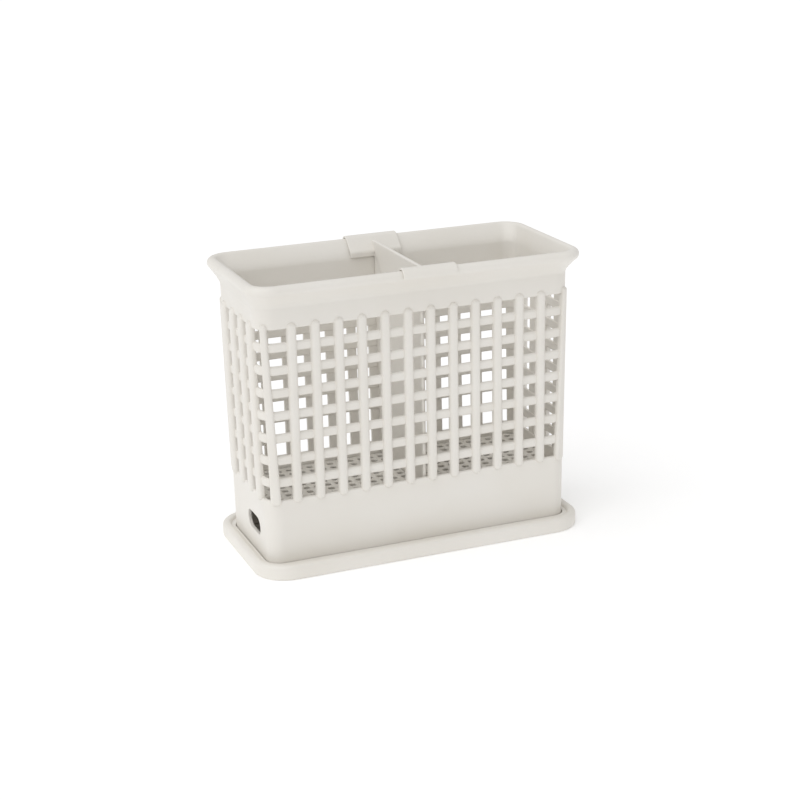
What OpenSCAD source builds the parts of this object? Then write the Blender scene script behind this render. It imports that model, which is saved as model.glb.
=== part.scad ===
// Chopstick and cutlery drainer basket: a latticed basket with a rolled rim,
// a partition that hooks over both long rims, a drop-in drain plate and a
// bottom cover that swings down on two pins along the back.
// Millimetres. Origin: centre of the bottom cover's underside. +X along the
// long side, +Y to the back, +Z up.

/* [Basket] */
// Height of the rim's top above the table
rim_z = 140; // [130:1:155]
// Half length of the basket's outer wall, taken at the table
wall_half_x = 76.6; // [70:0.2:84]
// Half depth of the basket's outer wall, taken at the table
wall_half_y = 30.2; // [28:0.1:34]
// Radius of the basket's upright corners, taken at the table
corner_r = 7; // [6:0.2:8]
// Outward lean of every wall, millimetres per millimetre of height
wall_lean = 0.0125; // [0.01:0.0005:0.015]
// Thickness of the moulded walls
wall_t = 2; // [1.8:0.1:2.2]

/* [Lattice] */
// Windows in a row along each long side
front_columns = 13; // [11:1:14]
// Windows in a row across each end
end_columns = 5; // [4:1:6]
// Rows of windows, bottom to top
rows = 8; // [6:1:9]
// Height of the solid band below the windows, from the table
low_band = 36.4; // [34:0.2:40]
// Height of the solid band above the windows, up to the rim's top
top_band = 21.6; // [18:0.2:26]
// Width of an upright rib on the long sides
rib_w = 4.7; // [4:0.1:5.2]
// Width of an upright rib on the ends
end_rib_w = 6.2; // [5.6:0.1:6.8]
// Height of a level bar
bar_h = 4.4; // [3.6:0.1:5]
// How far the upright ribs stand proud of the wall
rib_proud = 1.4; // [1:0.1:1.6]

/* [Rim and foot] */
// How far the rim reaches beyond the wall's ends, taken at the table
rim_over_x = 6.2; // [6:0.1:7.5]
// How far the rim reaches beyond the wall's long sides
rim_over_y = 9.3; // [8.8:0.1:10]
// Plan radius of the rim's outer corners
rim_corner_r = 12; // [11:0.5:13]
// Radius of the bead that rolls round the rim's edge
bead_r = 2.6; // [2.4:0.1:2.8]
// How much farther than the rim the bottom cover reaches
foot_more = 0.4; // [0.2:0.1:0.8]
// Plan radius of the cover's corners
cover_corner_r = 16; // [15:0.5:17]
// Height of the cover's raised lip
lip_z = 7.2; // [6.5:0.1:7.4]
// Distance of the hinge axis behind the cover's lip
hinge_back = 3.8; // [3.6:0.1:4.2]

/* [Drain hole] */
// Length of the oval hole in the left end
hole_len = 21; // [16:1:22]
// Height of the oval hole
hole_h = 11; // [8:0.5:12]
// Height of the hole's middle above the table
hole_z = 18.5; // [16:0.5:19]
// Offset of the hole's middle from the basket's middle plane
hole_y = -4; // [-6:0.5:6]

/* [Partition] */
// Place of the partition along the basket
divider_x = 2.5; // [-45:0.5:45]
// Thickness of the partition panel
divider_t = 1.8; // [1.6:0.1:2.2]
// Length of the hooks along the rim
hook_len = 26.6; // [22:0.2:30]

/* [Hidden] */
$fn = 64;

plastic = "#f1eee6";
core_x = wall_half_x - corner_r;
core_y = wall_half_y - corner_r;
rim_half_x = wall_half_x + rim_over_x;
rim_half_y = wall_half_y + rim_over_y;
cover_half_x = rim_half_x + foot_more;
cover_half_y = rim_half_y + foot_more;
hinge_y = cover_half_y + hinge_back;

// The windows fill the wall between the corner posts and between the bands;
// those of the ends run on into the rounded corners
front_post = 3.15;
end_spread = 2.55;
post_in = 0.8;            // the front posts' edges beside the first window
post_lean = 0.046;        // lean outwards, so the posts narrow upwards
back_open = 3.35;         // width of the back's outermost windows
back_post = 2.7;          // reach of the back posts along the ends
front_pitch = 2 * (wall_half_x - front_post) / front_columns;
end_pitch = 2 * (wall_half_y + end_spread) / end_columns;
window_bottom = low_band;
window_top = rim_z - top_band;
row_pitch = (window_top - window_bottom + bar_h) / rows;
window_h = row_pitch - bar_h;

basket_z = 3;             // lower edge of the basket's walls
cove_r = 4;
flare_z = rim_z - 1.4;    // where the flared lip runs into the bead
flare_step = 2;           // from the bead's middle to the lip's inner side
rib_over_top = 2.8;       // ribs run on over the upper band
rib_over_bottom = 2.2;    // and over the lower band
bar_recess = 0.15;
rib_inset = 0.3;          // ribs stop short of the inner face
ledge_z = 26;
ledge_t = 2;
ledge_w = 2.4;
eps = 0.01;

plate_z = ledge_z + ledge_t;
plate_t = 2;
plate_gap = 0.3;
mesh_pitch = 5.4;
mesh_hole = 3;
mesh_edge = 3.6;          // solid edge of the drain plate

fit_gap = 0.35;           // partition to walls and rim
hook_t = 1;
tab_drop = 8.2;
outer_drop = 3.6;
panel_top = rim_z - 0.8;
panel_bottom = plate_z + plate_t + 0.6;

floor_t = 2.6;
trough_z = 4.4;
trough_gap = 1.1;
lip_w = 4.4;
lip_round = 1.9;
foot_round = 1.2;

hinge_z = 7;
hinge_x = 44;             // middle of each hinge
barrel_r = 3;
pin_r = 1.5;
pin_bore_r = 1.55;
knuckle_len = 12;
ear_t = 5;
ear_gap = 0.3;
ear_top = 24;

// Corner radius of the outer wall at height z
function wall_r(z) = corner_r + wall_lean * z;

// Sweeps a profile, drawn as (distance from the corner's axis, z), round a
// rounded rectangle whose corner axes stand at (+-cx, +-cy)
module round_sweep(cx, cy) {
    for (q = [[1, 1, 0], [-1, 1, 90], [-1, -1, 180], [1, -1, 270]])
        translate([q[0] * cx, q[1] * cy, 0])
            rotate([0, 0, q[2]])
                rotate_extrude(angle = 90)
                    children();
    for (s = [0, 180]) {
        rotate([0, 0, s])
            translate([cx, cy, 0])
                rotate([90, 0, 0])
                    linear_extrude(2 * cy)
                        children();
        rotate([0, 0, s])
            translate([-cx, cy, 0])
                rotate([90, 0, 90])
                    linear_extrude(2 * cx)
                        children();
    }
}

// A leaning strip of wall from z0 to z1, from `inner` to `outer` beyond the
// outer face (negative values lie inside it)
module wall_strip(z0, z1, inner, outer) {
    polygon([[wall_r(z0) + inner, z0], [wall_r(z0) + outer, z0],
             [wall_r(z1) + outer, z1], [wall_r(z1) + inner, z1]]);
}

module wall_band(z0, z1, inner, outer) {
    round_sweep(core_x, core_y)
        wall_strip(z0, z1, inner, outer);
}

// Flat rounded rectangle
module rounded_rect(hx, hy, r) {
    square([2 * hx, 2 * (hy - r)], center = true);
    square([2 * (hx - r), 2 * hy], center = true);
    for (x = [-1, 1], y = [-1, 1])
        translate([x * (hx - r), y * (hy - r)])
            circle(r);
}

// Block with sloping sides: a rounded rectangle with its corner axes at
// (+-cx, +-cy), its corner radius going from r0 at z0 to r1 at z1
module slope_block(cx, cy, z0, r0, z1, r1) {
    for (q = [0, 180])
        rotate([0, 0, q])
            rotate([90, 0, 90])
                translate([0, 0, -cx])
                    linear_extrude(2 * cx)
                        polygon([[-eps, z0], [cy + r0, z0],
                                 [cy + r1, z1], [-eps, z1]]);
    for (q = [0, 180])
        rotate([0, 0, q])
            rotate([90, 0, 0])
                translate([0, 0, -cy])
                    linear_extrude(2 * cy)
                        polygon([[0, z0], [cx + r0, z0],
                                 [cx + r1, z1], [0, z1]]);
    for (x = [-1, 1], y = [-1, 1])
        translate([x * cx, y * cy, z0])
            cylinder(h = z1 - z0, r1 = r0, r2 = r1);
}

// One upright rib drawn on the wall's face, with a round top and foot
module rib_outline(w) {
    low = window_bottom - rib_over_bottom;
    high = window_top + rib_over_top;
    translate([-w / 2, low + w / 2])
        square([w, high - low - w]);
    translate([0, low + w / 2])
        circle(d = w);
    translate([0, high - w / 2])
        circle(d = w);
}

// Slabs that cut the ribs and the corner posts out of the rib layer. The
// ribs of the back stand half a pitch aside of those of the front
module rib_slabs() {
    front_edge = front_columns / 2 * front_pitch - rib_w / 2 - post_in;
    back_edge = (front_columns - 1) / 2 * front_pitch + rib_w / 2 + back_open;
    end_edge = end_columns / 2 * end_pitch - end_rib_w / 2;
    low = window_bottom - rib_over_bottom;
    high = window_top + rib_over_top;
    for (k = [1 : front_columns - 1])
        translate([(k - front_columns / 2) * front_pitch, 0, 0])
            rotate([90, 0, 0])
                linear_extrude(rim_half_y)
                    rib_outline(rib_w);
    for (k = [0 : front_columns - 1])
        translate([(k - (front_columns - 1) / 2) * front_pitch,
                   rim_half_y, 0])
            rotate([90, 0, 0])
                linear_extrude(rim_half_y)
                    rib_outline(rib_w);
    for (k = [1 : end_columns - 1])
        translate([-rim_half_x, (k - end_columns / 2) * end_pitch, 0])
            rotate([90, 0, 90])
                linear_extrude(2 * rim_half_x)
                    rib_outline(end_rib_w);
    for (x = [0, 1])
        mirror([x, 0, 0]) {
            translate([0, -end_edge, 0])
                rotate([90, 0, 0])
                    linear_extrude(rim_half_y - end_edge)
                        polygon([[front_edge, low], [rim_half_x, low],
                                 [rim_half_x, high],
                                 [front_edge + post_lean * (high - low),
                                  high]]);
            translate([back_edge, wall_half_y - back_post, low])
                cube([rim_half_x - back_edge,
                      rim_half_y - wall_half_y + back_post, high - low]);
        }
}

module lattice() {
    for (i = [0 : rows - 2]) {
        z = window_bottom + window_h + i * row_pitch;
        wall_band(z, z + bar_h, -wall_t, -bar_recess);
    }
    intersection() {
        wall_band(window_bottom - 6, window_top + 6,
                  -wall_t + rib_inset, rib_proud);
        rib_slabs();
    }
}

// Web of the rim: fills the space between the walls and the bead, with a
// cove beneath it; its inner side is cut by flare_cut
module rim_web() {
    cove_top = rim_z - 2 * bead_r + 1.2;
    fill_top = rim_z - bead_r + 0.1;
    translate([0, 0, rim_z - bead_r - 0.5])
        linear_extrude(flare_z - rim_z + bead_r + 0.5)
            difference() {
                rounded_rect(rim_half_x - bead_r, rim_half_y - bead_r,
                             rim_corner_r - bead_r);
                rounded_rect(wall_half_x - wall_t, wall_half_y - wall_t,
                             corner_r - wall_t);
            }
    round_sweep(core_x, core_y)
        difference() {
            translate([wall_r(cove_top) - 1, cove_top - cove_r])
                square([cove_r + 1, cove_r]);
            translate([wall_r(cove_top) + cove_r, cove_top - cove_r])
                circle(cove_r);
        }
    round_sweep(core_x, core_y)
        polygon([[wall_r(cove_top) - 1, cove_top - 1.5],
                 [wall_r(cove_top) + cove_r - 0.4, cove_top - 0.1],
                 [wall_r(cove_top) + cove_r - 0.4, fill_top],
                 [wall_r(cove_top) - 1, fill_top]]);
}

// Opening of the lip: sides that lean out at 45 degrees and run into the bead
module flare_cut() {
    r = rim_corner_r - bead_r - flare_step;
    slope_block(rim_half_x - rim_corner_r, rim_half_y - rim_corner_r,
                flare_z + 1 - r + 1, 2, flare_z + 1, r + 1);
}

module bead() {
    round_sweep(rim_half_x - rim_corner_r, rim_half_y - rim_corner_r)
        translate([rim_corner_r - bead_r, rim_z - bead_r])
            circle(bead_r);
}

// Hinge ear: an arm that reaches over the cover's lip to the pin
module hinge_ear() {
    rotate([90, 0, 90])
        linear_extrude(ear_t) {
            polygon([[wall_half_y - 0.6, 12], [wall_half_y - 0.6, ear_top],
                     [wall_half_y + 2, ear_top],
                     [hinge_y + 2.4, hinge_z + 1.8],
                     [hinge_y - 1.6, hinge_z + 2.5]]);
            translate([hinge_y, hinge_z])
                circle(barrel_r);
        }
}

module hinge_ears() {
    for (s = [-1, 1])
        translate([s * hinge_x, 0, 0])
            for (e = [-knuckle_len / 2 - ear_gap - ear_t,
                      knuckle_len / 2 + ear_gap])
                translate([e, 0, 0])
                    hinge_ear();
}

module basket() {
    color(plastic)
        bead();
    color(plastic)
        difference() {
            union() {
                wall_band(basket_z, window_bottom, -wall_t, 0);
                wall_band(window_top, flare_z, -wall_t, 0);
                round_sweep(core_x, core_y)
                    polygon([[wall_r(ledge_z) - wall_t - ledge_w, ledge_z],
                             [wall_r(ledge_z) - wall_t / 2, ledge_z],
                             [wall_r(plate_z) - wall_t / 2, plate_z],
                             [wall_r(plate_z) - wall_t - ledge_w, plate_z]]);
                lattice();
                rim_web();
                hinge_ears();
            }
            flare_cut();
            // oval drain hole in the left end
            translate([-wall_half_x - 2 * wall_t, hole_y, hole_z])
                rotate([0, 90, 0]) {
                    for (s = [-1, 1])
                        translate([0, s * (hole_len - hole_h) / 2, 0])
                            cylinder(h = 4 * wall_t, d = hole_h);
                    translate([-hole_h / 2, -(hole_len - hole_h) / 2, 0])
                        cube([hole_h, hole_len - hole_h, 4 * wall_t]);
                }
            // pin holes through the ears
            translate([-rim_half_x, hinge_y, hinge_z])
                rotate([0, 90, 0])
                    cylinder(h = 2 * rim_half_x, r = pin_r);
        }
}

module drain_plate() {
    hx = core_x + wall_r(plate_z) - wall_t - plate_gap;
    hy = core_y + wall_r(plate_z) - wall_t - plate_gap;
    columns = floor(2 * (hx - mesh_edge) / mesh_pitch) + 1;
    lines = floor(2 * (hy - mesh_edge) / mesh_pitch) + 1;
    color(plastic)
        translate([0, 0, plate_z])
            linear_extrude(plate_t)
                difference() {
                    rounded_rect(hx, hy, wall_r(plate_z) - wall_t - plate_gap);
                    for (i = [0 : columns - 1], j = [0 : lines - 1])
                        translate([(i - (columns - 1) / 2) * mesh_pitch,
                                   (j - (lines - 1) / 2) * mesh_pitch])
                            square(mesh_hole, center = true);
                }
}

// Partition: a panel whose sides follow the walls and the flared lip, and a
// hook over each long rim. The lines y = z - near and y = z - far are the
// hook's two faces along the flare.
module divider() {
    low = core_y + wall_r(panel_bottom) - wall_t - fit_gap;
    tab_z = rim_z - tab_drop;
    tab_y = core_y + wall_r(tab_z) - wall_t - fit_gap;
    tab_in = tab_y - hook_t;
    near = rim_z - rim_half_y + (bead_r + fit_gap) * sqrt(2);
    far = near + hook_t * sqrt(2);
    over = rim_z + fit_gap;
    top = over + hook_t;
    out = rim_half_y + fit_gap;
    end_z = rim_z - outer_drop;
    color(plastic)
        translate([divider_x, 0, 0]) {
            translate([-divider_t / 2, 0, 0])
                rotate([90, 0, 90])
                    linear_extrude(divider_t)
                        polygon([[-low, panel_bottom], [low, panel_bottom],
                                 [tab_y, tab_y + near],
                                 [panel_top - near, panel_top],
                                 [near - panel_top, panel_top],
                                 [-tab_y, tab_y + near]]);
            for (m = [0, 1])
                mirror([0, m, 0])
                    translate([-hook_len / 2, 0, 0])
                        rotate([90, 0, 90])
                            linear_extrude(hook_len)
                                polygon([[tab_in, tab_z], [tab_y, tab_z],
                                         [tab_y, tab_y + near],
                                         [over - near, over], [out, over],
                                         [out, end_z], [out + hook_t, end_z],
                                         [out + hook_t, over + 0.4],
                                         [out + 0.4, top], [top - far, top],
                                         [tab_in, tab_in + far]]);
        }
}

module bottom_cover() {
    cx = cover_half_x - cover_corner_r;
    cy = cover_half_y - cover_corner_r;
    r = cover_corner_r;
    wall_x = core_x + wall_r(basket_z) + trough_gap;
    wall_y = core_y + wall_r(basket_z) + trough_gap;
    color(plastic)
        difference() {
            union() {
                linear_extrude(floor_t)
                    rounded_rect(cover_half_x - lip_w / 2,
                                 cover_half_y - lip_w / 2, r - lip_w / 2);
                // step that the basket's foot drops into
                linear_extrude(trough_z)
                    difference() {
                        rounded_rect(cover_half_x - lip_w / 2,
                                     cover_half_y - lip_w / 2,
                                     r - lip_w / 2);
                        rounded_rect(wall_x, wall_y,
                                     wall_r(basket_z) + trough_gap);
                    }
                // raised lip with a round top
                round_sweep(cx, cy) {
                    translate([r - lip_w, 0])
                        square([lip_w - foot_round, foot_round + 0.2]);
                    translate([r - lip_w, foot_round])
                        square([lip_w, lip_z - lip_round - foot_round]);
                    translate([r - foot_round, foot_round])
                        circle(foot_round);
                    translate([r - lip_w + lip_round, lip_z - lip_round])
                        circle(lip_round);
                    translate([r - lip_round, lip_z - lip_round])
                        circle(lip_round);
                    translate([r - lip_w + lip_round, lip_z - lip_round - 1])
                        square([lip_w - 2 * lip_round, lip_round + 1]);
                }
                // hinge knuckles
                for (s = [-1, 1])
                    translate([s * hinge_x - knuckle_len / 2, 0, 0])
                        rotate([90, 0, 90])
                            linear_extrude(knuckle_len) {
                                translate([hinge_y, hinge_z])
                                    circle(barrel_r);
                                translate([cover_half_y - 1, 2])
                                    square([hinge_y - cover_half_y + 2.5,
                                            3.6]);
                            }
            }
            translate([-rim_half_x, hinge_y, hinge_z])
                rotate([0, 90, 0])
                    cylinder(h = 2 * rim_half_x, r = pin_bore_r);
        }
}

module hinge_pin(side) {
    len = knuckle_len + 2 * (ear_gap + ear_t);
    color(plastic)
        translate([side * hinge_x - len / 2, hinge_y, hinge_z])
            rotate([0, 90, 0])
                cylinder(h = len, r = pin_r);
}

module hinge_pin_left() {
    hinge_pin(-1);
}

module hinge_pin_right() {
    hinge_pin(1);
}

basket();
drain_plate();
divider();
bottom_cover();
hinge_pin_left();
hinge_pin_right();
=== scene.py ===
import math

import bmesh
import bpy
import numpy as np
from mathutils import Matrix, Vector


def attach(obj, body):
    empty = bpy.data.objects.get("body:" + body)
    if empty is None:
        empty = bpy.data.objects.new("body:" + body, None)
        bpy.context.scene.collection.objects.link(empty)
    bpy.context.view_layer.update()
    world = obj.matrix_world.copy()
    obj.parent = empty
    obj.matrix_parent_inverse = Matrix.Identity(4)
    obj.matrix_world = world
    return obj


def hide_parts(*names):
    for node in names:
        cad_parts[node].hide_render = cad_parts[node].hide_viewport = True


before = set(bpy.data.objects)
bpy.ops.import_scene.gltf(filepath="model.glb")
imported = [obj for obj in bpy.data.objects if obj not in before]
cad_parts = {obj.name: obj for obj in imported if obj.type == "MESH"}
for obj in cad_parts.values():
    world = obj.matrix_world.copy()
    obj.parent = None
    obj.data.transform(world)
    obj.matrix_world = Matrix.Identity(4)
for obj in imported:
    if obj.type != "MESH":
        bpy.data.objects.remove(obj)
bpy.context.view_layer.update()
MM = 0.001
SHARP = 55           # edges turned by more degrees than this stay sharp

# Sizes, mm
RIM_Z = 140.0
# Half sizes of the wall at z = 0, its corner radius, lean and thickness
WALL_X, WALL_Y, CORNER, LEAN, WALL = 76.6, 30.2, 7.0, 0.0125, 2.0
WALL_LOW = 3.0
# Centres of the corner arcs, the same at every height
CORE_X, CORE_Y = WALL_X - CORNER, WALL_Y - CORNER
RIM_X, RIM_Y, RIM_R, BEAD = 82.8, 39.5, 12.0, 2.6
COVER_X, COVER_Y, COVER_R = 83.2, 39.9, 16.0
COLUMNS, END_COLUMNS, ROWS = 13, 5, 8
PITCH, END_PITCH, ROW_PITCH = 11.3, 13.1, 10.8
RIB_W, END_RIB_W, BAR_H = 4.7, 6.2, 4.4
# Lower and upper edge of the lattice, and how far the ribs run past it
LOW, HIGH = 36.4, 118.4
RIB_LOW, RIB_HIGH, PROUD = LOW - 2.2, HIGH + 2.8, 1.4
# Corner posts: inner edges in x and y at the bottom, and lean of the x edge
FRONT_POST, BACK_POST = (70.3, 29.65, 0.046), (73.5, 27.5, 0.0)
POST_W, POST_R = 5.0, 1.6
HINGE_X, HINGE_Y, HINGE_Z = 44.0, 43.7, 7.0
BARREL_R, PIN_R, PIN_HALF = 3.0, 1.5, 11.3
EAR_W, EAR_X, KNUCKLE_HALF = 5.0, 6.3, 6.0
LEDGE_W, LEDGE_Z, PLATE_Z, PLATE_T, PLATE_GAP = 2.4, 26.0, 28.0, 2.0, 0.3
DIVIDER_X, DIVIDER_LOW, DIVIDER_T, DIVIDER_GAP = 2.5, 30.6, 1.8, 0.35
FLARE = 104.672      # the partition clears the lip where z - y is this
HOOK_W, HOOK_T, HOOK_TAB = 26.6, 1.0, 8.2
LIP_R, LIP_Z, TROUGH_Z, TRAY_FLOOR, TRAY_GAP = 1.9, 5.3, 5.6, 2.6, 0.45


def wall_r(z):
    """Corner radius of the outer wall at height z: it grows by the lean."""
    return CORNER + LEAN * z


# Surface tools
def grid_faces(rows, cols, wrap_rows, wrap_cols):
    """Quads between neighbours of a rows x cols grid of points, wrapped round
    in either direction when asked; returns an array (rows', cols', 4)."""
    i = np.arange(rows if wrap_rows else rows - 1)[:, None]
    j = np.arange(cols if wrap_cols else cols - 1)[None, :]
    i2, j2 = (i + 1) % rows, (j + 1) % cols
    return np.stack([i * cols + j, i2 * cols + j, i2 * cols + j2,
                     i * cols + j2], -1)


def sheet_part(points, wrap_rows, wrap_cols):
    """A grid of points (..., rows, cols, 3) as points and quads; leading
    axes hold copies of the grid."""
    rows, cols = points.shape[-3:-1]
    faces = grid_faces(rows, cols, wrap_rows, wrap_cols).reshape(-1, 4)
    copies = points.reshape(-1, rows * cols, 3)
    shift = (np.arange(len(copies)) * rows * cols)[:, None, None]
    return copies.reshape(-1, 3), (faces[None] + shift).reshape(-1, 4)


def unit(vectors):
    """The vectors at length 1."""
    return vectors / np.linalg.norm(vectors, axis=-1, keepdims=True)


def even_turn(start, end, steps):
    """Unit vectors turned evenly from start to end, (n, 2) each:
    sin((1-t) a) / sin(a) of the start and sin(t a) / sin(a) of the end."""
    angle = np.arccos(np.clip((start * end).sum(-1), -1, 1))[:, None]
    t = np.linspace(0, 1, steps + 1)[None, :]
    straight = np.sin(angle) < 1e-6
    safe = np.where(straight, 1.0, np.sin(angle))
    a = np.where(straight, 1 - t, np.sin((1 - t) * angle) / safe)
    b = np.where(straight, t, np.sin(t * angle) / safe)
    return a[..., None] * start[:, None] + b[..., None] * end[:, None]


def corner_sides(corners):
    """Corners of a closed outline, with unit vectors back and on along the
    two sides, the unit vector between them and half the angle they make."""
    p = np.asarray(corners, float)
    back, on = unit(np.roll(p, 1, 0) - p), unit(np.roll(p, -1, 0) - p)
    half = np.arccos(np.clip((back * on).sum(1), -1, 1))[:, None] / 2
    return p, back, on, unit(back + on), half


def rounded(corners, radii, steps=5):
    """A closed outline with each corner swapped for an arc of its radius that
    touches both sides."""
    p, back, on, middle, half = corner_sides(corners)
    r = np.broadcast_to(np.asarray(radii, float), len(p))[:, None]
    reach = r / np.tan(half)
    centre = p + middle * r / np.sin(half)
    start, end = p + back * reach - centre, p + on * reach - centre
    size = np.maximum(r, 1e-9)
    arcs = even_turn(start / size, end / size, steps) * r[:, None]
    return (centre[:, None] + arcs).reshape(-1, 2)


def inset(corners, d):
    """An anticlockwise outline with every side moved inwards by d."""
    p, back, on, middle, half = corner_sides(corners)
    turn = np.sign(on[:, 0] * back[:, 1] - on[:, 1] * back[:, 0])[:, None]
    return p + turn * middle * d / np.sin(half)


def round_path(steps=12, stops=None):
    """Samples round a rounded rectangle, anticlockwise from the +X end: the
    share of the straight part in x and y, and the outward direction. stops
    gives extra samples on a side, as shares, by the corner they follow."""
    ax, ay, turn = [], [], []
    for q, (sx, sy) in enumerate([(1, 1), (-1, 1), (-1, -1), (1, -1)]):
        t = np.linspace(q * 90, q * 90 + 90, steps + 1)
        ax.append(np.full(steps + 1, float(sx)))
        ay.append(np.full(steps + 1, float(sy)))
        turn.append(t)
        extra = np.asarray((stops or {}).get(q, []), float)
        if len(extra):
            along_x = q in (0, 2)
            ax.append(extra if along_x else np.full(len(extra), float(sx)))
            ay.append(np.full(len(extra), float(sy)) if along_x else extra)
            turn.append(np.full(len(extra), q * 90 + 90.0))
    turn = np.radians(np.concatenate(turn))
    return np.concatenate(ax), np.concatenate(ay), np.cos(turn), np.sin(turn)


def ring_points(half_x, half_y, radius, z, path):
    """A profile carried round rounded rectangles: point j of the profile has
    its own half sizes, corner radius and height, so wall and rim may blend."""
    hx, hy, r, z = (np.asarray(a, float)[None, :]
                    for a in np.broadcast_arrays(half_x, half_y, radius, z))
    ax, ay, c, s = (a[:, None] for a in path)
    x = ax * (hx - r) + r * c
    y = ay * (hy - r) + r * s
    return np.stack([x, y, z + 0 * x], -1)


def wall_sizes(out, z):
    """Half sizes and corner radius of the leaning wall, moved out by `out`."""
    grow = LEAN * z + out
    return WALL_X + grow, WALL_Y + grow, CORNER + grow


def wall_ring(profile, path):
    """A profile of (distance out from the wall's face, height) carried round
    the leaning wall."""
    out, z = np.asarray(profile, float).T
    hx, hy, r = wall_sizes(out, z)
    return ring_points(hx, hy, r, z, path)


def quarter(a, b, steps=5):
    """Sines and cosines of angles a to b in degrees."""
    t = np.radians(np.linspace(a, b, steps + 1))
    return np.sin(t), np.cos(t)


def slab_levels(low, high, r_low, r_high, half, draft=0.0):
    """Levels (inset, depth) of a slab with rounded edges: from the middle of
    the low face over its edge, up the side and in to the middle of the top."""
    s, c = quarter(0, 90, 6)
    d = np.concatenate([[half], r_low * (1 - s), r_high * (1 - c), [half]])
    h = np.concatenate([[low], low + r_low * (1 - c),
                        high - r_high * (1 - s), [high]])
    return np.minimum(d + draft * (h - low), half), h


def slab(width, height, radius, levels, steps):
    """Slabs with rounded-rectangle outlines: at inset d the outline is
    width - 2d by height - 2d with corner radius - d. Returns s, t, depth."""
    d, depth = (a[:, None] for a in levels)
    hw, hh = width / 2 - d, height / 2 - d
    r = np.clip(np.maximum(radius - d, 0), 0, np.minimum(hw, hh))
    ax, ay, c, s = (a[None, :] for a in round_path(steps))
    u = ax * (hw - r) + r * c
    v = ay * (hh - r) + r * s
    return u, v, depth + 0 * u


def revolve(profile, steps):
    """Points of a profile of (x, radius) turned round the hinge's axis."""
    x, r = profile.T
    t = np.linspace(0, 2 * np.pi, steps, endpoint=False)[:, None]
    return np.stack([x + 0 * t, HINGE_Y + r * np.cos(t),
                     HINGE_Z + r * np.sin(t)], -1)


def prism(corners, radii, x0, x1, edge=0.4, steps=3):
    """A convex outline in (y, z) drawn out along X with rounded edges."""
    mid = np.asarray(corners, float).mean(0)
    s, c = quarter(0, 90, steps)
    d = np.concatenate([edge * (1 - s), edge * (1 - c)])
    x = np.concatenate([x0 + edge * (1 - c), x1 - edge * (1 - s)])
    loops = [rounded(inset(corners, k), np.maximum(np.asarray(radii) - k,
                                                   0.01), 5) for k in d]
    hub = mid + 0 * loops[0]
    yz = np.stack([hub] + loops + [hub])
    x = np.concatenate([[x0], x, [x1]])
    pts = np.concatenate([np.broadcast_to(x[:, None, None],
                                          yz.shape[:2] + (1,)), yz], -1)
    return sheet_part(pts, False, True)


def strap(path, width, thick, edge, x_mid):
    """A flat strap along a path in (y, z): a rounded rectangle, `width` along
    X by `thick`, carried along the path and rounded off at both ends."""
    p = np.asarray(path, float)
    step = np.linalg.norm(np.diff(p, axis=0), axis=1)
    along = np.concatenate([[0], np.cumsum(step)])
    keep = np.concatenate([[True], step > 1e-6])
    p, along = p[keep], along[keep]
    ends = edge * (1 - quarter(0, 90, 5)[1])
    total = along[-1]
    t = np.unique(np.round(np.concatenate(
        [ends, total - ends, along[(along > edge) & (along < total - edge)],
         np.linspace(edge, total - edge, 24)]), 6))
    yz = np.stack([np.interp(t, along, p[:, k]) for k in (0, 1)], -1)
    slope = np.stack([np.interp(t, along, np.gradient(p[:, k], along))
                      for k in (0, 1)], -1)
    slope = unit(slope)
    normal = np.stack([-slope[:, 1], slope[:, 0]], -1)
    # The section shrinks over a quarter circle towards each end and closes
    near = np.minimum(t, total - t)
    d = edge - np.sqrt(np.clip(edge**2 - np.clip(edge - near, 0, edge)**2,
                               0, None))
    at = np.concatenate([[0], np.arange(len(t)), [len(t) - 1]])
    d = np.concatenate([[thick / 2], d, [thick / 2]])[:, None]
    half_w, half_t = width / 2 - d, thick / 2 - d
    r = np.clip(edge - d, 0, None)
    ax, ay, c, s = (a[None, :] for a in round_path(4))
    u = ax * (half_w - np.minimum(r, half_w)) + np.minimum(r, half_w) * c
    v = ay * np.clip(half_t - r, 0, None) + np.minimum(r, half_t) * s
    body = yz[at][:, None] + v[..., None] * normal[at][:, None]
    pts = np.concatenate([(x_mid + u)[..., None], body], -1)
    return sheet_part(pts, False, True)


def make_piece(name, parts, body, material, stands_for):
    """Joins the parts, in mm, into one mesh: seams merged, faces pointing
    outwards, smooth with area-weighted normals; it rides on its body and is
    shown for the solids it stands for."""
    shift, points, faces = 0, [], []
    for pts, quads in parts:
        points.append(pts)
        faces.append(quads + shift)
        shift += len(pts)
    mesh = bpy.data.meshes.new(name)
    mesh.from_pydata((np.concatenate(points) * MM).tolist(), [],
                     np.concatenate(faces).tolist())
    bm = bmesh.new()
    bm.from_mesh(mesh)
    bmesh.ops.remove_doubles(bm, verts=bm.verts, dist=2e-6)
    bmesh.ops.dissolve_degenerate(bm, edges=bm.edges, dist=1e-6)
    bmesh.ops.recalc_face_normals(bm, faces=bm.faces)
    bm.to_mesh(mesh)
    bm.free()
    mesh.shade_smooth()
    mesh.set_sharp_from_angle(angle=math.radians(SHARP))
    piece = bpy.data.objects.new(name, mesh)
    bpy.context.scene.collection.objects.link(piece)
    even = piece.modifiers.new("even_normals", "WEIGHTED_NORMAL")
    even.keep_sharp = True
    mesh.materials.append(material)
    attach(piece, body)
    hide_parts(*stands_for)


# Shader tools
def plug(tree, socket, value):
    """Links a Wire to the socket, or sets a constant."""
    if isinstance(value, Wire):
        tree.links.new(value.socket, socket)
    else:
        socket.default_value = value


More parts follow.
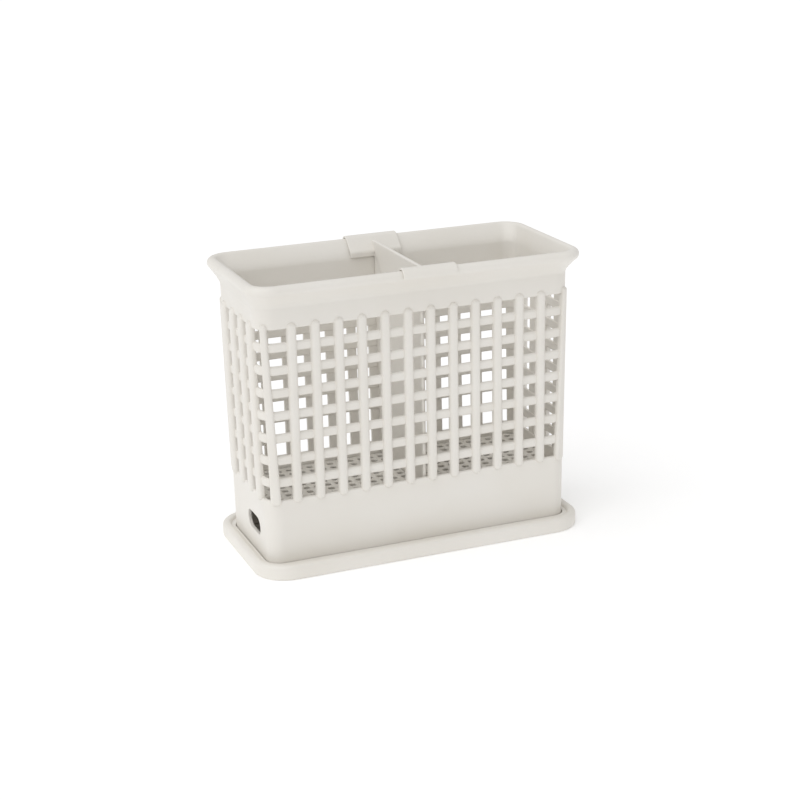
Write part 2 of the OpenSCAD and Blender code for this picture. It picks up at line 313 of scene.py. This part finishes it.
class Wire:
    """A socket with arithmetic: each operator adds a Math node."""

    def __init__(self, tree, socket):
        self.tree, self.socket = tree, socket

    def _math(self, operation, a, b):
        n = self.tree.nodes.new("ShaderNodeMath")
        n.operation = operation
        for slot, value in zip(n.inputs, (a, b)):
            plug(self.tree, slot, value)
        return Wire(self.tree, n.outputs[0])

    def __add__(self, other):
        return self._math("ADD", self, other)

    __radd__ = __add__

    def __mul__(self, other):
        return self._math("MULTIPLY", self, other)

    __rmul__ = __mul__


class Finish:
    """A material under construction: node() adds a node of any kind."""

    def __init__(self, name):
        self.material = bpy.data.materials.new(name)
        self.material.use_nodes = True
        self.tree = self.material.node_tree
        self.tree.nodes.clear()
        self.shader = self.tree.nodes.new("ShaderNodeBsdfPrincipled")
        out = self.tree.nodes.new("ShaderNodeOutputMaterial")
        self.tree.links.new(self.shader.outputs[0], out.inputs["Surface"])
        self.place = self.node("ShaderNodeTexCoord", out="Object")

    def node(self, kind, out=0, **sockets):
        n = self.tree.nodes.new(kind)
        self.fill(n, **sockets)
        return Wire(self.tree, n.outputs[out])

    def fill(self, node, **sockets):
        """Plugs each named input; an underscore stands for a space."""
        for key, value in sockets.items():
            plug(self.tree, node.inputs[key.replace("_", " ")], value)

    def noise(self, scale, detail=2.0, stretch=(1, 1, 1), rough=0.5, off=0.0):
        """Cloudy pattern fixed to the piece, `scale` blotches to a metre."""
        where = self.node("ShaderNodeMapping", Vector=self.place,
                          Scale=stretch, Location=(off, off, off))
        return self.node("ShaderNodeTexNoise", "Fac", Vector=where,
                         Scale=scale, Detail=detail, Roughness=rough)

    def ramp(self, fac, low, high):
        """0 below low, 1 above high and even between."""
        return self.node("ShaderNodeMapRange", Value=fac, From_Min=low,
                         From_Max=high, To_Min=0.0, To_Max=1.0)

    def mix(self, fac, a, b):
        """Colour a at fac 0, b at fac 1."""
        n = self.tree.nodes.new("ShaderNodeMix")
        n.data_type = "RGBA"
        for at, value in ((0, fac), (6, a), (7, b)):
            plug(self.tree, n.inputs[at], value)
        return Wire(self.tree, n.outputs[2])

    def set(self, **sockets):
        """Inputs of the surface itself."""
        self.fill(self.shader, **sockets)

    def bump(self, height, depth, strength=1.0, under=None):
        """Relief `depth` metres high, on top of the relief `under`."""
        more = {} if under is None else {"Normal": under}
        return self.node("ShaderNodeBump", Strength=strength, Distance=depth,
                         Height=height, **more)


IVORY = (0.815, 0.79, 0.745, 1)
IVORY_SHADE = (0.785, 0.755, 0.70, 1)
FLECK = tuple(a * b for a, b in zip(IVORY_SHADE, (0.8, 0.78, 0.72))) + (1,)
WAVE_DEPTH, GRAIN_DEPTH = 0.00025, 0.00003


def moulded_plastic(name, rough=0.42):
    """Ivory moulded polypropylene: faint cloudiness from the melt, flow
    streaks along X, hazy patches, fine scuffs and a spark-eroded grain."""
    f = Finish(name)
    cloud = f.noise(22.0, 3.0, off=0.31)
    flow = f.noise(60.0, 4.0, stretch=(0.25, 1, 1), off=1.7)
    fleck = f.ramp(f.noise(900.0, 2.0, off=4.2), 0.70, 0.78)
    tone = f.ramp(0.6 * cloud + 0.4 * flow, 0.36, 0.66)
    base = f.mix(tone, IVORY_SHADE, IVORY)
    base = f.mix(0.10 * fleck, base, FLECK)
    scuff = f.ramp(f.noise(140.0, 6.0, stretch=(1, 1, 0.3), rough=0.7,
                           off=2.9), 0.52, 0.80)
    haze = f.noise(35.0, 2.0, off=7.3)
    f.set(Base_Color=base,
          Roughness=rough - 0.05 + 0.10 * haze + 0.12 * scuff,
          IOR=1.49)
    grains = f.noise(2600.0, 3.0, off=0.9)
    waves = f.noise(48.0, 1.0, off=5.1)
    low = f.bump(waves, WAVE_DEPTH, 0.35)
    f.set(Normal=f.bump(grains + 0.25 * scuff, GRAIN_DEPTH, 0.55, low))
    return f.material


basket_plastic = moulded_plastic("ivory_basket_plastic")
drain_plastic = moulded_plastic("ivory_drain_plastic")
divider_plastic = moulded_plastic("ivory_divider_plastic")
cover_plastic = moulded_plastic("ivory_cover_plastic")
pin_plastic = moulded_plastic("ivory_pin_plastic", 0.34)


# Basket
HOLE_AT, HOLE_LONG, HOLE_TALL = np.array([-6.8, 18.7]), 19.0, 8.6
PANEL_Y, PANEL_Z = (-18.0, 10.0), (11.0, 25.4)


def obround(angle, grow):
    """Distance from the hole's middle to its edge, moved out by grow, in the
    direction `angle`: the flat side or the end circle, whichever is met."""
    r, reach = HOLE_TALL / 2 + grow, (HOLE_LONG - HOLE_TALL) / 2
    c, s = np.cos(angle), np.sin(angle)
    flat = r / np.maximum(np.abs(s), 1e-9)
    end = reach * np.abs(c) + np.sqrt(np.maximum(r * r - (reach * s) ** 2, 0))
    return np.where(np.abs(flat * c) <= reach, flat, end)


def lower_wall():
    """The solid band with its ledge, carried round the wall, and a panel with
    the oval hole let into the left end on the same points."""
    turn_steps, across, up, arc = 14, 21, 13, 5
    ys = np.linspace(PANEL_Y[1], PANEL_Y[0], across)
    path = round_path(turn_steps, {1: ys / CORE_Y})
    zs = np.linspace(*PANEL_Z, up)
    ledge = -WALL - LEDGE_W
    corners = [(0, WALL_LOW), (0, LOW), (-WALL, LOW), (-WALL, PLATE_Z),
               (ledge, PLATE_Z), (ledge, LEDGE_Z), (-WALL, LEDGE_Z),
               (-WALL, WALL_LOW)]
    loop = rounded(corners, [0.6, 0.7, 0.5, 0.35, 0.7, 0.7, 0.3, 0.5],
                   arc - 1)
    # Rows of points beside the panel, on the outer and the inner face
    loop = np.concatenate([loop[:arc], np.stack([0 * zs, zs], -1),
                           loop[arc:-arc],
                           np.stack([0 * zs - WALL, zs[::-1]], -1),
                           loop[-arc:]])
    pts = wall_ring(loop, path)
    rows, cols = pts.shape[:2]
    faces = grid_faces(rows, cols, True, True)
    keep = np.ones(faces.shape[:2], bool)
    row = 2 * (turn_steps + 1)
    for col in (arc, cols - arc - up):
        keep[row:row + across - 1, col:col + up - 1] = False
    band = pts.reshape(-1, 3), faces[keep]
    # The panel: from its edge to the hole, through the wall and back out
    edge = np.concatenate([
        np.stack([ys[:-1], 0 * ys[:-1] + zs[0]], -1),
        np.stack([0 * zs[:-1] + ys[-1], zs[:-1]], -1),
        np.stack([ys[:0:-1], 0 * ys[:-1] + zs[-1]], -1),
        np.stack([0 * zs[:-1] + ys[0], zs[:0:-1]], -1)])
    away = edge - HOLE_AT
    angle = np.arctan2(away[:, 1], away[:, 0])
    s, c = quarter(0, 90, 6)
    outer, inner = 0.55, 0.4
    grow = np.concatenate([outer * (1 - s), inner * (1 - c)])
    depth = np.concatenate([-outer * (1 - c), -WALL + inner * (1 - s)])
    ray = np.stack([np.cos(angle), np.sin(angle)], -1)
    hole = [HOLE_AT + ray * obround(angle, g)[:, None] for g in grow]
    yz = np.stack([edge] + hole + [edge])
    depth = np.concatenate([[0], depth, [-WALL]])[:, None]
    x = -(CORE_X + wall_r(yz[..., 1]) + depth)
    panel = np.concatenate([x[..., None], yz], -1)
    return [band, sheet_part(panel, False, True)]


def rim_and_band():
    """Upper band, flare, bead and rim top in one profile: the wall's rounded
    rectangle turns into the rim's wider one along the flare."""
    def wall_row(out, z):
        return np.stack([*wall_sizes(out, z), z], -1)

    s, c = quarter(-48, 135, 18)
    bead = np.stack([RIM_X - BEAD + BEAD * c, RIM_Y - BEAD + BEAD * c,
                     RIM_R - BEAD + BEAD * c, RIM_Z - BEAD + BEAD * s], -1)

    def flare(out, low, bend, end, t):
        """Leaves the wall at height `low`, is pulled towards height `bend`
        and meets the bead's `end`: z = low (1-t)^2 + 2 bend t (1-t) + end
        t^2, while the outline turns into the rim's with t^2."""
        z = low * (1 - t)**2 + 2 * bend * t * (1 - t) + end[3] * t**2
        turned = [a + (b - a) * t**2
                  for a, b in zip(wall_sizes(out, z), end[:3])]
        return np.stack([*turned, z], -1)

    t = np.linspace(0, 1, 15)
    outside = flare(0.0, 127.8, 129.9, bead[0], t[:-1])
    inside = flare(-WALL, 130.8, 134.1, bead[-1], 1 - t[1:])
    top = HIGH + 9
    foot = rounded([(0, HIGH), (0, top), (-WALL, top), (-WALL, HIGH)],
                   [0.6, 0, 0, 0.6], 4)
    loop = np.concatenate([wall_row(*foot[:5].T), outside, bead, inside,
                           wall_row(*foot[-5:].T)])
    return [sheet_part(ring_points(*loop.T, round_path(18)), True, True)]


def lattice_bars():
    """Seven level rings between the window rows, each with rounded edges."""
    face = -0.15
    loop = rounded([(face, 0), (face, BAR_H), (-WALL, BAR_H), (-WALL, 0)],
                   [1.15, 1.15, 0.5, 0.5], 5)
    lows = LOW - BAR_H + ROW_PITCH * np.arange(1, ROWS)
    return [sheet_part(wall_ring(loop + [0, z], round_path(10)), True, True)
            for z in lows]


def lattice_ribs():
    """Upright ribs with round ends, crowned a little, on all four sides, and
    a post that wraps round each corner."""
    height = RIB_HIGH - RIB_LOW
    mid = (RIB_LOW + RIB_HIGH) / 2
    root = -WALL + 0.3
    parts = []
    # The front; the back, half a pitch aside from it; both ends
    for count, pitch, width, core, along_x, sides in (
            (COLUMNS - 1, PITCH, RIB_W, CORE_Y, True, (-1,)),
            (COLUMNS, PITCH, RIB_W, CORE_Y, True, (1,)),
            (END_COLUMNS - 1, END_PITCH, END_RIB_W, CORE_X, False, (-1, 1))):
        levels = slab_levels(root, PROUD, 0.5, 1.8, width / 2, 0.05)
        u, v, depth = slab(width, height, width / 2, levels, 8)
        z = mid + v
        k = (np.arange(count) - (count - 1) / 2)[:, None, None] * pitch
        out = core + wall_r(z) + depth
        for side in sides:
            across, away = k + u, side * out + 0 * k
            order = (across, away) if along_x else (away, across)
            parts.append(sheet_part(np.stack([*order, z + 0 * k], -1),
                                    False, True))
    # Posts: x and y of the two inner edges give the turns they lie between
    levels = slab_levels(root, PROUD, 0.5, 1.5, POST_W / 2)
    u, v, depth = slab(POST_W, height, POST_R, levels, 6)
    z = mid + v
    edge = wall_r(z) + PROUD
    for (px, py, lean), sy in ((FRONT_POST, -1), (BACK_POST, 1)):
        low = np.arcsin((py - CORE_Y) / edge)
        high = np.arccos((px + lean * (z - RIB_LOW) - CORE_X) / edge)
        turn = low + (high - low) * (u / POST_W + 0.5)
        x = CORE_X + (wall_r(z) + depth) * np.cos(turn)
        y = CORE_Y + (wall_r(z) + depth) * np.sin(turn)
        parts += [sheet_part(np.stack([sx * x, sy * y, z], -1), False, True)
                  for sx in (-1, 1)]
    return parts


def barrel(x0, x1, bore):
    """A hinge barrel with its bore, edges rounded."""
    loop = rounded([(x0, bore), (x0, BARREL_R), (x1, BARREL_R), (x1, bore)],
                   [0.15, 0.5, 0.5, 0.15], 4)
    return sheet_part(revolve(loop, 40), True, True)


def hinge_ears():
    """Four ears: an arm from the wall over the cover's lip, and a barrel."""
    arm = [(WALL_Y - 0.6, 12.2), (HINGE_Y - 1.6, HINGE_Z + 2.5),
           (HINGE_Y + 2.3, HINGE_Z + 1.75), (WALL_Y + 2, 24.0),
           (WALL_Y - 0.6, 24.0)]
    parts = []
    for side in (-1, 1):
        for x0 in (-EAR_X - EAR_W, EAR_X):
            x = side * HINGE_X + x0
            parts.append(prism(arm, [0.2, 0.4, 0.4, 1.2, 0.2], x + 0.12,
                               x + EAR_W - 0.12))
            parts.append(barrel(x, x + EAR_W, PIN_R + 0.02))
    return parts


for name, shape in (("lower_wall", lower_wall), ("rim", rim_and_band),
                    ("bars", lattice_bars), ("ribs", lattice_ribs),
                    ("hinge_ears", hinge_ears)):
    make_piece("basket_" + name, shape(), "basket",
               basket_plastic, ["basket"])


# Drain plate
def drain_plate():
    """Plate of square cells, each a sheet from the cell's edge over the
    hole's rounded edge and through, inside a border with rounded edges."""
    r = wall_r(PLATE_Z) - WALL - PLATE_GAP
    hx, hy = CORE_X + r, CORE_Y + r
    pitch, nx, ny, hole = 5.4, 27, 10, 3.0
    top, low = PLATE_Z + PLATE_T, PLATE_Z
    t = np.linspace(-1, 1, 4)[:-1]
    one = np.ones(3)
    cell = np.concatenate([np.stack([t, -one], -1), np.stack([one, t], -1),
                           np.stack([-t, one], -1), np.stack([-one, -t], -1)])
    corner = np.abs(cell).min(-1, keepdims=True) > 0.99
    soft = np.where(corner, 0.88, 1.0) * cell
    sizes = [(pitch / 2, top), (hole / 2 + 0.45, top),
             (hole / 2 + 0.12, top - 0.12), (hole / 2, top - 0.45),
             (hole / 2, low + 0.3), (hole / 2 + 0.3, low), (pitch / 2, low)]
    last = len(sizes) - 1
    tile = np.stack([
        np.concatenate([(cell if k in (0, last) else soft) * s,
                        np.full((len(cell), 1), z)], -1)
        for k, (s, z) in enumerate(sizes)])
    cx = (np.arange(nx) - (nx - 1) / 2) * pitch
    cy = (np.arange(ny) - (ny - 1) / 2) * pitch
    at = np.stack(np.meshgrid(cx, cy, [0.0]), -1).reshape(-1, 1, 1, 3)
    cells = sheet_part(tile + at, False, True)
    gx, gy = nx * pitch / 2, ny * pitch / 2
    xs = np.linspace(1, -1, nx * 3 + 1)[1:-1]
    ys = np.linspace(1, -1, ny * 3 + 1)[1:-1]
    path = round_path(5, {0: xs, 1: ys, 2: -xs, 3: -ys})
    s, c = quarter(0, 90, 4)
    e = 0.5

    def over_edge(size, first):
        return np.concatenate([[first], size - e + e * s, size - e + e * c,
                               [first]])

    zs = np.concatenate([[top], top - e + e * c, low + e - e * s, [low]])
    border = ring_points(over_edge(hx, gx), over_edge(hy, gy),
                         over_edge(r, 0), zs, path)
    return [cells, sheet_part(border, True, False)]


make_piece("drain_plate_mesh", drain_plate(), "basket",
           drain_plastic, ["drain_plate"])


# Partition
def partition_panel():
    """Upright panel whose sides follow the leaning walls."""
    low, bend, high = DIVIDER_LOW, 134.2, RIM_Z - 0.8
    side = CORE_Y - WALL - DIVIDER_GAP
    half = np.array([[side + wall_r(low), low], [side + wall_r(bend), bend],
                     [high - FLARE, high]])
    outline = np.concatenate([half, half[::-1] * [-1, 1]])
    return [prism(outline, [1.2, 0.8, 1.0, 1.0, 0.8, 1.2],
                  DIVIDER_X - DIVIDER_T / 2, DIVIDER_X + DIVIDER_T / 2,
                  edge=0.7, steps=5)]


def partition_hooks():
    """A hook over each long rim: a strap up the inner wall, over the top,
    round the bead and down outside."""
    off = 0.35 + HOOK_T / 2
    tab_z, reach = RIM_Z - HOOK_TAB, BEAD + off
    tab = CORE_Y + wall_r(tab_z) - WALL - off
    s, c = quarter(135, -15, 14)
    over = np.stack([RIM_Y - BEAD + reach * c, RIM_Z - BEAD + reach * s], -1)
    rise = over[0, 1] - over[0, 0]
    loop = rounded([(tab, tab_z), (tab, tab + rise), over[0]],
                   [0.0, 1.6, 0.0], 8)
    loop = np.concatenate([loop, over])
    return [strap(loop * [side, 1], HOOK_W, HOOK_T, 0.45, DIVIDER_X)
            for side in (-1, 1)]


for name, shape in (("panel", partition_panel), ("hooks", partition_hooks)):
    make_piece("divider_" + name, shape(), "divider",
               divider_plastic, ["divider"])


# Bottom cover
def cover_tray():
    """Floor, step and raised lip in one profile from the middle of the
    underside, round the foot and the lip, and back to the middle."""
    def row(x, y, r, d, z):
        """Points at inset d from half sizes x, y and radius r."""
        d, z = np.broadcast_arrays(np.asarray(d, float), z)
        return np.stack([x - d, y - d, r - d, z], -1)

    lip = COVER_X, COVER_Y, COVER_R
    wr = wall_r(WALL_LOW) + TRAY_GAP
    well = CORE_X + wr, CORE_Y + wr, wr
    s, c = quarter(0, 90, 6)
    s80, c80 = quarter(0, 80, 6)
    foot_r, edge_r = 1.2, 0.45
    middle = [[COVER_X - COVER_Y, 0, 0, 0]]
    loop = np.concatenate([
        middle,
        row(*lip, foot_r * (1 - s), foot_r * (1 - c)),
        row(*lip, LIP_R * (1 - c), LIP_Z + LIP_R * s),
        row(*lip, 2.5 + LIP_R * s80, LIP_Z + LIP_R * c80),
        row(*lip, [4.4, 4.6, 4.9], [TROUGH_Z + 0.05, TROUGH_Z, TROUGH_Z]),
        row(*well, edge_r * (s - 1), TROUGH_Z + edge_r * (c - 1)),
        row(*well, [0, 0.1, 0.35],
            [TRAY_FLOOR + 0.3, TRAY_FLOOR + 0.08, TRAY_FLOOR]),
        [[CORE_X - CORE_Y, 0, 0, TRAY_FLOOR]]])
    return [sheet_part(ring_points(*loop.T, round_path(18)), True, False)]


def cover_knuckles():
    """Two knuckles: a barrel between the ears and a web to the lip."""
    web = [(COVER_Y - 1.0, 2.1), (HINGE_Y + 1.5, 4.4), (HINGE_Y + 1.5, 5.6),
           (COVER_Y - 1.0, 5.6)]
    web_half = KNUCKLE_HALF - 0.15
    parts = []
    for x in (-HINGE_X, HINGE_X):
        parts.append(barrel(x - KNUCKLE_HALF, x + KNUCKLE_HALF, PIN_R + 0.05))
        parts.append(prism(web, [0.2, 0.3, 0.3, 0.2], x - web_half,
                           x + web_half))
    return parts


for name, shape in (("tray", cover_tray), ("knuckles", cover_knuckles)):
    make_piece("cover_" + name, shape(), "bottom_cover",
               cover_plastic, ["bottom_cover"])


def hinge_pin(side):
    """Pin with domed ends."""
    x0, x1 = side * HINGE_X - PIN_HALF, side * HINGE_X + PIN_HALF
    loop = rounded([(x0, 0.0), (x0, PIN_R), (x1, PIN_R), (x1, 0.0)],
                   [0.0, 0.45, 0.45, 0.0], 4)
    return [sheet_part(revolve(loop, 36), True, False)]


for side, which in ((-1, "left"), (1, "right")):
    make_piece("pin_" + which, hinge_pin(side), "basket",
               pin_plastic, ["hinge_pin_" + which])


# Floor, light and camera, in metres
FLOOR = (-6, -6), (6, -6), (6, 6), (-6, 6)
SKY, SUN, SPREAD, SUN_FROM = 0.62, 1.15, 70.0, (-0.52, -0.22, 0.82)
# The photograph's view, fitted: degrees round and up, tilt, and what it is
# aimed at, from how far, with which lens
ROUND, UP, TILT = -21.486, 18.015, -1.41
AIM, AWAY, LENS = (0.001767, 0, 0.066229), 0.86305, 80.046


def plain_floor():
    """Pale studio floor."""
    f = Finish("pale_floor")
    f.set(Base_Color=(0.93, 0.93, 0.93, 1), Roughness=0.9,
          Emission_Color=(1, 1, 1, 1), Emission_Strength=0.20)
    mesh = bpy.data.meshes.new("floor")
    mesh.from_pydata([(x, y, 0) for x, y in FLOOR], [], [(0, 1, 2, 3)])
    floor = bpy.data.objects.new("floor", mesh)
    bpy.context.scene.collection.objects.link(floor)
    mesh.materials.append(f.material)


def studio():
    """White surroundings and a broad soft light from above on the left."""
    bpy.context.scene.view_settings.view_transform = "Standard"
    world = bpy.data.worlds.new("studio")
    bpy.context.scene.world = world
    world.use_nodes = True
    sky = world.node_tree.nodes["Background"]
    sky.inputs[0].default_value = (1, 1, 1, 1)
    sky.inputs[1].default_value = SKY
    light = bpy.data.lights.new("overhead_softbox", "SUN")
    light.energy, light.angle = SUN, math.radians(SPREAD)
    lamp = bpy.data.objects.new("overhead_softbox", light)
    bpy.context.scene.collection.objects.link(lamp)
    lamp.rotation_euler = Vector(SUN_FROM).to_track_quat("Z", "Y").to_euler()


def photo_camera():
    """The photograph's viewpoint, from fitted angles, distance and lens."""
    a, e, roll = (math.radians(x) for x in (ROUND, UP, TILT))
    back = np.array([math.sin(a) * math.cos(e), -math.cos(a) * math.cos(e),
                     math.sin(e)])
    right = unit(np.cross([0, 0, 1], back))
    up = np.cross(back, right)
    side = math.cos(roll) * right + math.sin(roll) * up
    top = -math.sin(roll) * right + math.cos(roll) * up
    data = bpy.data.cameras.new("photo_camera")
    data.lens, data.sensor_width = LENS, 36.0
    data.clip_start, data.clip_end = 0.02, 20
    camera = bpy.data.objects.new("photo_camera", data)
    bpy.context.scene.collection.objects.link(camera)
    matrix = np.eye(4)
    matrix[:3, 0], matrix[:3, 1], matrix[:3, 2] = side, top, back
    matrix[:3, 3] = AIM + back * AWAY
    camera.matrix_world = Matrix(matrix.tolist())
    bpy.context.scene.camera = camera


plain_floor()
studio()
photo_camera()
